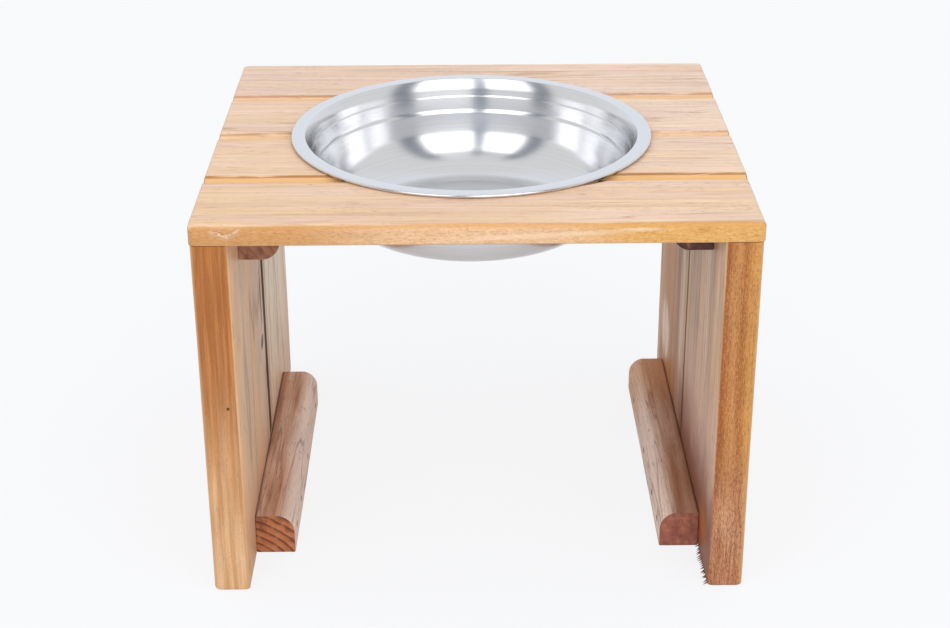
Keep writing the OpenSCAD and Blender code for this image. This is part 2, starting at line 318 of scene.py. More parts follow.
class Wood(Shader):
    """Timber with its grain along axis 0, 1 or 2. Its figure's widths and lengths are in millimetres."""

    def __init__(self, name, along, seed, waver):
        super().__init__(name)
        self.along, self.seed = along, seed
        self.across = tuple(0.0 if i == along else 1.0 for i in range(3))
        drift = self.noise(self.drawn(self.place, 40, 130, 0.5), detail=3.0, output="Color")
        drift = self.vector("SUBTRACT", drift, (0.5, 0.5, 0.5))
        reach = tuple(2 * waver * MM * share for share in self.across)
        self.here = self.vector("MULTIPLY_ADD", drift, reach, self.place)
        self.fibre = self.grain(0.7, 45, 3.0)

    def drawn(self, place, width, length, seed):
        """Place scaled so that noise on it has features of that width and length."""
        scale = [1 / (width * MM)] * 3
        scale[self.along] = 1 / (length * MM)
        shift = 3.1 * self.seed + 7.7 * seed
        return self.vector("MULTIPLY_ADD", place, tuple(scale), (shift, 1.3 * shift, 0.7 * shift))

    def grain(self, width, length, detail=2.0, seed=0.0):
        """Noise drawn out along the grain, about 0.5 on average."""
        return self.noise(self.drawn(self.here, width, length, seed), detail=detail)

    def sway(self, amount, width, length, detail, seed):
        """Grain noise about 0, up to half the amount each way."""
        return self.times(self.minus(self.grain(width, length, detail, seed), 0.5), amount)

    def lines(self, width, length, thin, seed):
        """Thin long lines, 1 on the line."""
        level = self.minus(self.grain(width, length, 1.5, seed), 0.5)
        return self.step(self.math("ABSOLUTE", level), thin, 0.0)

    def dashes(self, width, length, share, seed):
        """Short open pores, more of them for a higher share."""
        return self.step(self.grain(width, length, 1.0, seed), 0.72 - 0.2 * share, 0.78 - 0.2 * share)

    def rings(self, pith, width, slope=(0, 0, 0)):
        """Growth rings about a pith line: 0 in each year's pale wood, 1 in its narrow late wood."""
        run = self.vector("MULTIPLY", (self.x, self.y, self.z)[self.along], slope)
        away = self.vector("SUBTRACT", self.here, tuple(p * MM for p in pith))
        away = self.vector("MULTIPLY_ADD", away, self.across, run)
        years = self.math("DIVIDE", self.vector("LENGTH", away), width * MM)
        return self.ramp(self.math("FRACT", years), (0.0, 0.0), (0.5, 0.22), (0.82, 1.0), (1.0, 0.0))

    def shade(self, colour, *layers):
        """Lays tones over a colour, each given as its mask, its share where the mask is 1, and its tone."""
        for mask, share, tone in layers:
            colour = self.mix(self.times(mask, share), colour, tone)
        return colour

    def streaks(self, width, length, tones, seed=0.0):
        """Long streaks of a dark, a middle and a light tone."""
        dark, middle, light = tones
        return self.ramp(self.grain(width, length, 4.0, seed), (0.36, dark), (0.5, middle), (0.64, light))

    def blotched(self, colour, width, length, depth, seed):
        """Broad lighter and darker patches over a colour."""
        patches = self.ramp(self.grain(width, length, 3.0, seed), (0.32, 1 - depth), (0.68, 1 + depth))
        return self.mix(1.0, colour, patches, "MULTIPLY")

    def grained(self, colour, depth):
        """Fine light and dark fibres over a colour."""
        fibres = self.ramp(self.fibre, (0.34, 1 - depth), (0.66, 1 + depth))
        return self.mix(1.0, colour, fibres, "MULTIPLY")

    def finish(self, colour, rough_low, rough_high, relief):
        """Colour, roughness and grain relief of the surface."""
        self.set(Base_Color=colour, Specular_IOR_Level=0.25)
        self.set(Roughness=self.ramp(self.fibre, (0.35, rough_low), (0.65, rough_high)))
        self.bump(self.fibre, relief)
        return self.material


# Materials

AMBER, GOLD, DARK_AMBER = (239, 184, 120), (236, 181, 108), (172, 116, 60)
COVE_VARNISH = (0.85, 0.45, 0.5)
# The dark tone on the sawn wall round the bowl is painted shade.
OPENING_SHADE = (50, 36, 28)


def sawn_wall_shade(w, colour):
    """Painted shade on the sawn wall round the bowl, where the gap under its rim is dark."""
    def inside(centre, radius):
        return w.rise(w.radius(centre), radius, 0.7, 0.2)
    in_flat = w.times(inside(FLAT_CUT, FLAT_CUT_R), w.rise(w.y, JOINTS[0], 1, 0))
    return w.shade(colour, (w.math("MAXIMUM", inside(BOWL, HOLE_R), in_flat), 0.9, OPENING_SHADE))


def cove_varnish(w, colour):
    """Amber varnish left in the coves, most in the front one, with a darker line along each rear arris."""
    ragged = w.plus(w.z, w.sway(2.4 * MM, 2.5, 25, 4.0, 4))
    hollow = w.rise(ragged, TOP_Z, -0.2, -2.2)
    varnish = w.grained(w.mix(w.rise(w.x, 0, -60, 130), AMBER, GOLD), 0.07)
    broken = w.step(w.grain(3, 30, 3.0, 5), 0.3, 0.55)
    for joint, share in zip(JOINTS, COVE_VARNISH):
        away = w.minus(w.y, joint)
        behind = w.step(away, -1.3 * COVE_HALF, 0.2 * COVE_HALF)
        near = w.times(w.either_way(away, COVE_HALF, 2, 1), behind)
        colour = w.mix(w.times(hollow, near, share), colour, varnish)
        line = w.times(w.rise(away, COVE_HALF, -2.2, -1.2), w.rise(away, COVE_HALF, 0.5, -0.3))
        colour = w.shade(colour, (w.times(line, broken), 0.3 + 0.7 * share, DARK_AMBER))
    return colour


def scuffed(w, colour):
    """Torn pale scuff on the front edge near its left end, lowest in its middle, with a painted grey shadow
    below it.
    """
    along = w.minus(w.x, CHIP_X)
    left_rise = w.times(along, -0.28)
    right_rise = w.minus(w.times(along, 0.5), 0.9 * MM)
    rise = w.minus(w.math("MAXIMUM", left_rise, right_rise), CHIP_DROP)
    level = w.plus(w.minus(w.minus(w.z, CHIP_Z), rise), w.sway(4.5 * MM, 1.0, 2.6, 3.0, 12))
    on_edge = w.rise(w.y, FRONT_Y, 4, 2)
    reach = w.times(w.either_way(along, 0, 11, 6), on_edge)
    # grey is a painted shadow under the scuff.
    grey = w.times(reach, w.rise(level, 0, -3.4, -1.4), w.rise(level, 0, 0.2, -0.6))
    broken = w.step(w.grain(1.5, 4, 2.0, 16), 0.42, 0.56)
    brown = w.times(reach, w.either_way(w.minus(level, 1.2 * MM), 0, 0.7, 0.2), broken)
    patchy = w.step(w.grain(1.4, 3.2, 2.0, 15), 0.36, 0.54)
    pale = w.times(reach, patchy, w.either_way(level, 0, 1.3, 0.4))
    return w.shade(
        colour,
        (grey, 0.5, (196, 166, 130)),
        (brown, 0.5, (158, 98, 60)),
        (pale, 0.7, (238, 200, 176)),
    )


def front_edge_varnish(w, colour):
    """Satin amber on the front board's edge, palest in the middle, with worn places, a painted highlight
    and painted shade along its top arris.
    """
    left = w.streaks(0.9, 4, ((198, 142, 87), (207, 152, 97), (215, 163, 109)), 7)
    middle = w.streaks(0.9, 4, ((223, 177, 134), (231, 188, 146), (238, 199, 159)), 8)
    right = w.streaks(0.9, 4, ((217, 161, 90), (226, 172, 102), (233, 184, 117)), 9)
    varnish = w.mix(w.rise(w.x, 0, -120, -40), left, middle)
    varnish = w.mix(w.rise(w.x, 0, 40, 100), varnish, right)
    # Deeper gold along the top arris is painted shade over the brightly lit rounded nose.
    arris = w.rise(w.z, TOP_Z, -3.2, -1)
    # A painted highlight on the front edge's rounded nose, right of the middle.
    painted_highlight = w.near((98 * MM, FRONT_Y, TOP_Z - 3.4 * MM), (21, 6, 1.7))
    slant = w.minus(w.minus(w.z, w.times(w.x, 0.045)), TOP_Z - 8.5 * MM)
    pale = w.times(w.either_way(slant, 0, 2.2, 0.5), w.rise(w.x, 0, -25, 20), w.rise(w.x, 0, 110, 60))
    stain = w.near((134 * MM, FRONT_Y, TOP_Z - 4.5 * MM), (11, 6, 4))
    worn = w.near((4 * MM, FRONT_Y, TOP_Z - 7.5 * MM), (60, 8, 3))
    varnish = w.shade(
        w.blotched(varnish, 7, 60, 0.04, 10),
        (w.dashes(0.7, 2.5, 0.8, 14), 0.28, (160, 104, 52)),
        (arris, 0.6, (218, 160, 90)),
        (painted_highlight, 0.55, (246, 226, 200)),
        (pale, 0.5, (248, 220, 188)),
        (stain, 0.4, (190, 126, 60)),
        (w.times(worn, w.dashes(1.0, 5, 0.7, 13)), 0.5, (246, 218, 188)),
    )
    ragged = w.plus(w.y, w.sway(4 * MM, 4, 25, 3.0, 6))
    edge = w.rise(ragged, FRONT_Y, 4.2, 1.4)
    return scuffed(w, w.mix(edge, colour, varnish))


def top_wood(name, seed, tones, pith, front_edge=False):
    """Top board: pale on its face, partly worn and partly painted sheen, a little yellower at the left,
    amber in its coves, raw below.
    """
    w = Wood(name, along=0, seed=seed, waver=3.2)
    yellower = w.mix(w.rise(w.x, 0, -100, 100), (0.972, 0.93, 0.88, 1), (1, 1, 1, 1))
    colour = w.blotched(w.streaks(4.5, 200, tones), 40, 130, 0.05, 1)
    broad_patch = w.step(w.grain(30, 160, 2.0, 3), 0.46, 0.58)
    fleck_patch = w.step(w.grain(18, 60, 2.0, 9), 0.48, 0.6)
    colour = w.shade(
        w.mix(1.0, colour, yellower, "MULTIPLY"),
        (w.step(w.grain(9, 170, 2.0, 21), 0.46, 0.62), 0.4, (241, 204, 156)),
        (w.step(w.grain(12, 140, 2.0, 22), 0.48, 0.64), 0.4, (238, 205, 192)),
        (w.rings(pith, 4.5, (0, 0.03, 0.01)), 0.07, (196, 144, 104)),
        (w.lines(4.5, 150, 0.035, 4), 0.2, (186, 134, 96)),
        (w.times(w.lines(16, 420, 0.013, 2), broad_patch), 0.5, (168, 112, 74)),
        (w.times(w.dashes(0.8, 6, 0.6, 8), fleck_patch), 0.4, (162, 110, 74)),
        (w.dashes(0.6, 9, 0.4, 6), 0.3, (156, 108, 74)),
    )
    colour = cove_varnish(w, w.grained(colour, 0.08))
    if front_edge:
        colour = front_edge_varnish(w, colour)
    ends = w.either_way(w.x, TOP_HALF, -0.9, -0.3)
    raw = w.ramp(w.rings(pith, 4.5), (0.0, (206, 168, 130)), (1.0, (158, 112, 78)))
    below = w.rise(w.z, UNDER_Z, 1.2, 0.3)
    colour = w.shade(w.mix(ends, colour, raw), (below, 0.7, (200, 168, 138)))
    return w.finish(sawn_wall_shade(w, colour), 0.36, 0.50, 0.10 * MM)


def left_varnish(w):
    """Left side's varnish: orange-brown with dark upright lines, fading to yellow-tan low down."""
    high = w.streaks(2.4, 110, ((167, 103, 53), (180, 114, 60), (193, 129, 74)))
    low = w.streaks(3.0, 80, ((210, 159, 110), (222, 174, 127), (231, 189, 147)), 1)
    level = w.plus(w.z, w.times(w.grain(7, 70, 2.0, 2), 70 * MM))
    colour = w.mix(w.rise(level, 0, 225, 35), high, low)
    fade = w.rise(w.z, 0, 40, 170)
    dot = w.near((-153.6 * MM, FRONT_Y, 132 * MM), (1.3, 3, 1.5))
    return w.shade(
        w.blotched(colour, 8, 45, 0.07, 5),
        (w.lines(2.4, 140, 0.03, 3), w.times(0.24, fade), (120, 68, 34)),
        (w.dashes(0.5, 3.0, 0.5, 4), 0.25, (120, 70, 36)),
        (w.step(dot, 0.0, 0.3), 0.85, (70, 42, 26)),
    )


def right_varnish(w):
    """Right side's varnish: orange-brown with a lighter flame, amber outside and salmon low down."""
    share = w.math("DIVIDE", w.minus(w.x, SIDE_IN), SIDE_OUT - SIDE_IN)
    band = w.plus(share, w.sway(0.6, 9, 110, 3.0, 2))
    colour = w.ramp(band, (0.08, (166, 95, 45)), (0.36, (196, 137, 81)), (0.58, (174, 107, 54)),
                    (0.80, (208, 149, 80)))
    level = w.plus(w.z, w.times(w.grain(6, 40, 2.0, 5), 40 * MM))
    less_outside = w.math("MAXIMUM", w.step(share, 1.0, 0.85), 0.2)
    low = w.times(w.rise(level, 0, 130, 60), less_outside)
    salmon = w.streaks(2.4, 40, ((174, 112, 80), (193, 136, 102), (212, 160, 124)), 6)
    return w.shade(
        w.blotched(w.mix(w.times(low, 0.85), colour, salmon), 7, 30, 0.08, 8),
        (w.lines(3, 110, 0.02, 7), 0.25, (128, 70, 36)),
        (w.dashes(0.7, 2.2, 0.9, 9), 0.3, (218, 168, 116)),
        (w.dashes(0.6, 2.6, 0.8, 3), w.times(low, 0.5), (112, 58, 36)),
        (w.dashes(0.6, 3.0, 0.8, 4), 0.4, (122, 66, 34)),
    )


def side_bands(w, *stops):
    """Wavy upright bands across an inner face, as (place in millimetres, tone) pairs from front to back."""
    depth = REAR_Y - FRONT_Y
    wavy = w.plus(w.y, w.sway(70 * MM, 30, 160, 4.0, 1))
    share = w.math("DIVIDE", w.minus(wavy, FRONT_Y), depth)
    return w.ramp(share, *(((y * MM - FRONT_Y) / depth, tone) for y, tone in stops))


def left_inside(w):
    """Left panel's inner face: tan and grey bands, with a crack and a small knot ahead of the seam."""
    buff, grey = (244, 201, 154), (234, 204, 174)
    pale, mauve = (255, 240, 214), (246, 218, 194)
    colour = side_bands(w, (-150, buff), (-100, grey), (-74, buff), (-36, grey), (16, pale), (70, pale),
                        (125, pale), (155, mauve))
    crack = w.near((-SIDE_IN, SEAM_Y - 13 * MM, 142 * MM), (4, 4, 36))
    knot = w.near((-SIDE_IN, SEAM_Y - 16 * MM, 110 * MM), (4, 12, 8))
    return w.shade(
        w.blotched(colour, 26, 70, 0.09, 3),
        (w.rise(w.z, 0, 130, 20), 0.5, (214, 158, 116)),
        (w.lines(50, 300, 0.03, 4), 0.5, (166, 124, 92)),
        (w.dashes(2.2, 14, 0.4, 6), 0.35, (140, 100, 74)),
        (w.step(crack, 0.1, 0.5), 0.8, (84, 52, 34)),
        (w.step(knot, 0.1, 0.6), 0.85, (70, 42, 28)),
    )


def right_inside(w):
    """Right panel's inner face: bold grey, brown and pale bands, pinkish and then darker low down from dirt
    and painted shade.
    """
    buff, dark, pale = (224, 188, 152), (158, 118, 88), (246, 222, 200)
    grey, golden = (194, 162, 138), (196, 136, 80)
    colour = side_bands(w, (-150, buff), (-128, buff), (-114, dark), (-98, pale), (-76, buff), (-50, grey),
                        (0, buff), (18, pale), (34, dark), (56, golden), (124, golden), (136, pale),
                        (155, buff))
    colour = w.blotched(colour, 26, 80, 0.09, 3)
    pinkish = w.times(w.rise(w.z, 0, 150, 95), w.rise(w.y, SEAM_Y, 20, -30))
    patchy = w.step(w.grain(5, 70, 3.0, 8), 0.32, 0.52)
    bare = w.times(w.near((SIDE_IN, 112 * MM, 56 * MM), (8, 34, 34)), patchy)
    # Darker low down towards the batten: partly dirt and partly painted shade.
    ragged = w.plus(w.z, w.times(w.grain(26, 30, 3.0, 7), 50 * MM))
    dirt_and_shade = w.times(w.rise(ragged, 0, 125, 60), w.rise(w.y, 0, 60, 0))
    stain = w.near((SIDE_IN, -128 * MM, 26 * MM), (8, 30, 22))
    return w.shade(
        w.mix(0.4, colour, w.streaks(5, 120, (dark, buff, pale), 9)),
        (w.rise(w.y, 0, 20, 70), 0.6, golden),
        (w.lines(50, 400, 0.03, 4), 0.5, (136, 100, 74)),
        (pinkish, 0.65, (222, 186, 168)),
        (w.step(bare, 0.0, 0.5), 0.8, (252, 236, 218)),
        (dirt_and_shade, 0.95, (140, 88, 68)),
        (stain, 0.7, (198, 122, 66)),
        (w.dashes(2.2, 14, 0.4, 6), 0.35, (118, 82, 62)),
    )


def side_wood(name, side, seed, pith_y):
    """Side board: varnished on its edges and outside with a painted highlight on its outer arris, weathered
    inside, dark along the seam from dirt and painted shade.
    """
    w = Wood(name, along=2, seed=seed, waver=1.6)
    varnish, weathered = (left_varnish, left_inside) if side == LEFT else (right_varnish, right_inside)
    across = w.times(w.x, float(side))
    outside = w.rise(across, SIDE_OUT, -2.2, -0.5)
    inside = w.rise(across, SIDE_IN, 1.3, 0.3)
    half_depth = (REAR_Y - FRONT_Y) / 2
    from_middle = w.minus(w.y, (FRONT_Y + REAR_Y) / 2)
    # edge marks the outer arris near the front and back, where a painted highlight goes.
    edge = w.either_way(from_middle, half_depth, -7, -3)
    figure = w.rings((side * 125, pith_y, 0), 7.0, (0.16, 0.03, 0))
    colour = w.shade(
        varnish(w),
        (outside, 0.4, (192, 128, 76)),
        (w.times(outside, figure), 0.3, (136, 80, 40)),
        (w.times(outside, edge), 0.6, (226, 184, 134)),
    )
    # Dark along the seam: partly dirt and partly painted shade on the rear board's proud edge.
    seam = w.either_way(w.minus(w.y, SEAM_Y), 0, 2.0, 1.2)
    seam_share = 0.9 if side == LEFT else 0.6
    colour = w.shade(w.mix(inside, colour, weathered(w)), (seam, seam_share, (90, 60, 42)))
    return w.finish(w.grained(colour, 0.08), 0.40, 0.56, 0.13 * MM)


def batten_wood(name, side, seed, box, spots, tones, panel_shade_and_gold_share, pith, ring_share, end_tones):
    """Weathered batten: mauve-brown streaks, painted light on its free side, painted shade along the panel,
    dirt round its nails and red-brown rings on its ends.
    """
    w = Wood(name, along=1, seed=seed, waver=2.2)
    rings = w.rings(pith, 5.2, (0.01, 0, 0.006))
    inward = w.times(w.x, float(side))
    colour = w.shade(
        w.blotched(w.streaks(8, 120, tones), 9, 45, 0.12, 6),
        # Paler on the free side: a painted highlight on the lit rounding.
        (w.rise(inward, SIDE_IN, -15, -22), 0.8, (252, 232, 218)),
        (w.lines(9, 300, 0.025, 9), 0.4, (252, 232, 210)),
        (w.lines(7, 160, 0.03, 2), 0.5, (124, 82, 62)),
        (rings, 0.12, (140, 94, 76)),
        # Browner beside the panel is painted shade; the golden rear is the wood's own tone.
        (w.rise(inward, SIDE_IN, -19, -9), panel_shade_and_gold_share, (176, 118, 80)),
        (w.rise(w.y, 0, 20, 110), panel_shade_and_gold_share, (214, 158, 106)),
        # Dark strip against the panel: partly dirt and partly painted shade in the crease.
        (w.rise(inward, SIDE_IN, -2.2, -0.4), 0.7, (78, 48, 34)),
        (w.dashes(1.0, 8, 0.45, 5), 0.35, (112, 74, 58)),
    )
    for spot, _ in spots:
        dirt = w.near(spot, (2.6, 4.8, 3.0))
        colour = w.shade(colour, (w.step(dirt, 0.05, 0.5), 0.8, (62, 42, 34)))
    early, late = end_tones
    mottle = w.noise(w.place, 170, 4.0)
    end_grain = w.shade(
        w.mix(w.times(rings, ring_share), early, late),
        (w.step(mottle, 0.48, 0.64), 0.5, late),
        (w.step(mottle, 0.46, 0.34), 0.35, (214, 150, 112)),
    )
    low, high = box
    ends = w.math("MAXIMUM", w.rise(w.y, low.y, 0.7, 0.2), w.rise(w.y, high.y, -0.7, -0.2))
    colour = w.mix(ends, w.grained(colour, 0.08), end_grain)
    return w.finish(colour, 0.44, 0.62, 0.16 * MM)


def bowl_steel():
    """Satin stainless steel with faint rings from spinning."""
    s = Shader("bowl_steel")
    turned = s.wire(s.node("CombineXYZ"), s.radius(BOWL), s.z).outputs[0]
    spin = s.noise(turned, 700, 2.0)
    smear = s.noise(s.place, 26, 3.0)
    dull, bright = (0.74, 0.745, 0.76, 1), (0.78, 0.785, 0.80, 1)
    s.set(Metallic=1.0, Base_Color=s.ramp(spin, (0.3, dull), (0.7, bright)))
    s.set(Roughness=s.ramp(smear, (0.3, 0.17), (0.7, 0.20)))
    s.bump(spin, 0.0005 * MM)
    return s.material


def nail_steel():
    """Dull nail heads with rusty specks."""
    s = Shader("nail_steel")
    rust = s.step(s.noise(s.place, 900, 3.0), 0.5, 0.66)
    s.set(Base_Color=s.mix(rust, (70, 62, 58), (92, 56, 38)), Metallic=0.7)
    s.set(Roughness=s.ramp(rust, (0.0, 0.45), (1.0, 0.8)))
    return s.material


# Top boards

def face_z(y):
    """Height of the top face, with a cove over each joint and softened arrises."""
    def height(v):
        drop = 0.0
        for joint in JOINTS:
            away = abs(v - joint)
            if away < COVE_HALF:
                drop = max(drop, sqrt(COVE_R ** 2 - away ** 2) - (COVE_R - COVE_DEPTH))
        return TOP_Z - drop
    softened = [height(y + d * MM) for d in (-0.35, -0.12, 0.12, 0.35)]
    return sum(softened) / len(softened)


def groove_edge(joint):
    """Front edge that takes the tongue of the board before it, from the underside up."""
    front, end = joint + HALF_GAP, joint + SLOT_LEN
    low, high = SLOT_Z
    return [(front, UNDER_Z), (front, low), (end, low), (end, high), (front, high)]


def tongue_edge(joint):
    """Rear edge with its tongue, from the cove down to the underside."""
    rear, tip = joint - HALF_GAP, joint + TONGUE_LEN
    low, high = TONGUE_Z
    return [(rear, high), (tip, high), (tip, low), (rear, low), (rear, UNDER_Z)]


def outer_edge(y, inward, low_r, reach, drop):
    """Outer edge from the underside up, rounded by low_r below and over reach and drop above."""
    turns = [radians(a) for a in (0, 22.5, 45, 67.5, 90)]
    low = [(y + inward * low_r * (1 - sin(a)), UNDER_Z + low_r * (1 - cos(a))) for a in turns]
    high = [(y + inward * reach * (1 - cos(a)), TOP_Z - drop * (1 - sin(a))) for a in turns]
    face = [(y, z) for z in spread(low[-1][1], high[0][1], 6)[1:-1]]
    return low + face + high[:-1]


def face_ys(start, end, grooved, tongued):
    """Places across a board's top face, closer together in its coves."""
    lip = COVE_HALF * 1.12
    lip_points, face_points = 11, 22
    ys = []
    if grooved:
        ys += spread(start, start + lip, lip_points)[:-1]
        start += lip
    last = end - lip if tongued else end
    ys += spread(start, last, face_points)
    if tongued:
        ys += spread(last, end, lip_points)[1:]
    return ys


def board_ring(front, rear, front_edge, rear_edge):
    """Ring of a top board and the faces of its ends, from its two edges and the faces between them."""
    grooved, tongued = front in JOINTS, rear in JOINTS
    start = front + HALF_GAP if grooved else front_edge[-1][0]
    end = rear - HALF_GAP if tongued else rear_edge[0][0]
    ys = face_ys(start, end, grooved, tongued)
    top = [(y, face_z(y)) for y in ys]
    under = [(y, UNDER_Z) for y in reversed(ys)]
    ring = front_edge + top + rear_edge + under
    first, count, turn = len(front_edge), len(ys), len(rear_edge)
    def below(i):
        return first + 2 * count + turn - 1 - i
    caps = [list(range(first + 1)) + [below(0)]]
    caps += [(first + i, first + i + 1, below(i + 1), below(i)) for i in range(count - 1)]
    caps += [list(range(first + count - 1, first + count + turn)) + [below(count - 1)]]
    return ring, caps


def eased(y, z, distance, seed, ease=END_EASE):
    """Height with the board's end rounded and its face slightly uneven."""
    wear_size, uneven_size, uneven_height, skin = 18 * MM, 45 * MM, 0.10 * MM, 4 * MM
    worn = ease * (1 + 0.35 * ripple((y, distance, 0), wear_size, seed))
    level = TOP_Z - corner_back(distance, worn)
    uneven = uneven_height * ripple((distance, y, 0), uneven_size, seed + 5)
    return min(z, level) + (uneven if z > TOP_Z - skin else 0.0)


def nose(x):
    """Reach and drop of the front board's worn top edge, broad on the left and tight on the right."""
    share = soft_step(-0.9 * TOP_HALF, 0.6 * TOP_HALF, x)
    wear = 1 + 0.22 * ripple((x, 0, 0), 30 * MM, 4)
    return (7.5 - 5.0 * share) * MM * wear, (4.6 - 1.8 * share) * MM * wear


def chip_dent(x, y, z, edge_y):
    """Depth of the chip out of the front edge near its left end."""
    if y > edge_y + MM:
        return 0.0
    reach = soft_step(15 * MM, 4 * MM, abs(x - CHIP_X)) * soft_step(4 * MM, MM, abs(z - CHIP_Z))
    return reach * (0.8 + 0.6 * ripple((x, z, 0), 5 * MM, 2)) * MM


def front_board_ring(x):
    """Section of the front board at x, cut back by the flatter sawn opening."""
    distance = TOP_HALF - abs(x)
    reach, drop = nose(x)
    edge_y = FRONT_Y + corner_back(distance, PLAN_CORNER)
    edge = outer_edge(edge_y, 1, LOW_EASE, reach, drop)
    ring, caps = board_ring(FRONT_Y, JOINTS[0], edge, tongue_edge(JOINTS[0]))
    span = FLAT_CUT_R ** 2 - (x - FLAT_CUT.x) ** 2
    limit = FLAT_CUT.y - sqrt(span) if span > 0 else REAR_Y
    ease = END_EASE if x < 0 else RIGHT_END_EASE
    points = [Vector((x, min(y, limit) + chip_dent(x, y, z, edge_y), eased(y, z, distance, 1, ease)))
              for y, z in ring]
    return points, caps


def rear_board_ring(x):
    """Section of the rear board at x, cut back by the round opening."""
    distance = TOP_HALF - abs(x)
    edge_y = REAR_Y - corner_back(distance, PLAN_CORNER)
    edge = outer_edge(edge_y, -1, LOW_EASE, REAR_EASE, REAR_EASE)
    ring, caps = board_ring(JOINTS[2], REAR_Y, groove_edge(JOINTS[2]), edge[::-1])
    span = HOLE_R ** 2 - (x - BOWL.x) ** 2
    limit = BOWL.y + sqrt(span) if span > 0 else FRONT_Y
    return [Vector((x, max(y, limit), eased(y, z, distance, 9))) for y, z in ring], caps


def long_board(name, ring_at, material):
    """Front or rear board, lofted along its whole length."""
    sections = [ring_at(d - TOP_HALF) for d in stations(2 * TOP_HALF, TOP_STEP)]
    piece = loft(name, [points for points, caps in sections], sections[0][1])
    dress(piece, material, "stand", "top_wood", name)


def middle_board(name, joint, next_joint, side, seed, material):
    """Middle board from its outer end to the round opening."""
    ring, caps = board_ring(joint, next_joint, groove_edge(joint), tongue_edge(next_joint))
    def hole_x(y):
        return BOWL.x + side * sqrt(HOLE_R ** 2 - (y - BOWL.y) ** 2)
    near_end = [d * MM for d in BOARD_END]
    rings = [[Vector((side * (TOP_HALF - d), y, eased(y, z, d, seed))) for y, z in ring] for d in near_end]
    for share in spread(0.0, 1.0, 26)[1:]:
        points = []
        for y, z in ring:
            start = side * (TOP_HALF - near_end[-1])
            x = start + (hole_x(y) - start) * share
            points.append(Vector((x, y, eased(y, z, TOP_HALF - abs(x), seed))))
        rings.append(points)
    dress(loft(name, rings, caps), material, "stand", "top_wood", name)


def make_top():
    """The four top boards. The two middle ones are cut apart by the opening."""
    # The pale face tones are partly worn wood and partly painted sheen.
    buff = ((227, 190, 157), (235, 202, 170), (240, 211, 178))
    peach = ((231, 197, 169), (241, 210, 183), (245, 218, 190))
    pink = ((234, 202, 177), (243, 215, 191), (247, 223, 198))
    grey = ((229, 198, 177), (241, 214, 192), (247, 222, 200))
    front = top_wood("front_board_wood", 1, buff, (0, -260, 330), front_edge=True)
    second = top_wood("second_board_wood", 2, peach, (0, -90, 370))
    third = top_wood("third_board_wood", 3, pink, (0, 170, 340))
    rear = top_wood("rear_board_wood", 4, grey, (0, 60, 380))
    long_board("top_front_board", front_board_ring, front)
    long_board("top_rear_board", rear_board_ring, rear)
    for side, word in SIDES.items():
        middle_board(f"top_second_board_{word}", JOINTS[0], JOINTS[1], side, 3, second)
        middle_board(f"top_third_board_{word}", JOINTS[1], JOINTS[2], side, 6, third)


# Sides

def side_ring(z, side, front, rear, front_r, rear_r, outer_front, proud):
    """Section of a side board at height z, with rounded upright edges and a worn foot."""
    turns = [radians(a) for a in (0, 30, 60, 90)]
    foot = corner_back(z, FOOT_CORNER)
    worn_in, worn_out = (0.8, 3.0) if side == LEFT else (2.2, 2.4)
    inner, outer = SIDE_IN + corner_back(z, worn_in * MM), SIDE_OUT - corner_back(z, worn_out * MM)
    if outer_front:
        front += foot
    else:
        rear -= foot
    def corner(x, y, to_x, to_y, r, start):
        arc = [(x + to_x * r * (1 - cos(a)), y + to_y * r * (1 - sin(a))) for a in turns]
        return arc if start else arc[::-1]
    ring = corner(inner, front, 1, 1, front_r, True)
    ring += corner(outer, front, -1, 1, front_r, False)
    ring += [(outer, y) for y in spread(front + front_r, rear - rear_r, 14)[1:-1]]
    ring += corner(outer, rear, -1, -1, rear_r, True)
    ring += corner(inner, rear, 1, -1, rear_r, False)
    ring += [(inner, y) for y in spread(rear - rear_r, front + front_r, 14)[1:-1]]
    low, high = BATTEN_Z
    cup = proud * soft_step(low, low + 9 * MM, z) * soft_step(high, high - 9 * MM, z)
    points = []
    for x, y in ring:
        swell = 0.18 * MM * ripple((y, z, 3 * side), 60 * MM, 7)
        lift = cup * soft_step(front + 60 * MM, front, y) * soft_step(SIDE_OUT, SIDE_IN, x)
        points.append(Vector((side * (x + swell - lift), y, z)))
    return points


def side_board(name, side, front_r, rear_r, outer_front, material, proud=0.0):
    """Upright side board, lofted from the floor up. A proud one has cupped inwards at the seam."""
    low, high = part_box(name)
    rings = [side_ring(z, side, low.y, high.y, front_r, rear_r, outer_front, proud)
             for z in stations(SIDE_H, SIDE_STEP)]
    dress(loft(name, rings), material, "stand", "side_wood", name)


def make_splinters(material):
    """Torn fibres along the bottom of the right front board's inner face."""
    count, first_y, last_y = 22, FRONT_Y + 4 * MM, FRONT_Y + 56 * MM
    root_corners = [Vector(way) * MM for way in ((0, -1.1, -0.3), (0, 1.1, -0.2), (0, 0.1, 1.0))]
    bm = bmesh.new()
    for i, y in enumerate(spread(first_y, last_y, count)):
        size = 1 + 0.7 * ripple((i, 0, 0), 1.7, 6)
        root = Vector((SIDE_IN + 1.2 * MM, y, (1.6 + 1.4 * ripple((i, 0, 0), 0.9, 3)) * MM))
        tip = root + Vector((-3.6 * size, -3.0 - 2.5 * ripple((i, 0, 0), 1.3, 8), 0.3 - 0.8 * size)) * MM
        tip.z = max(tip.z, 0.2 * MM)
        corners = [bm.verts.new(root + way) for way in root_corners]
        point = bm.verts.new(tip)
        bm.faces.new(corners)
        for a, b in zip(corners, corners[1:] + corners[:1]):
            bm.faces.new((a, b, point))
    dress(finish_mesh("foot_splinters", bm), material, "stand", "side_wood")


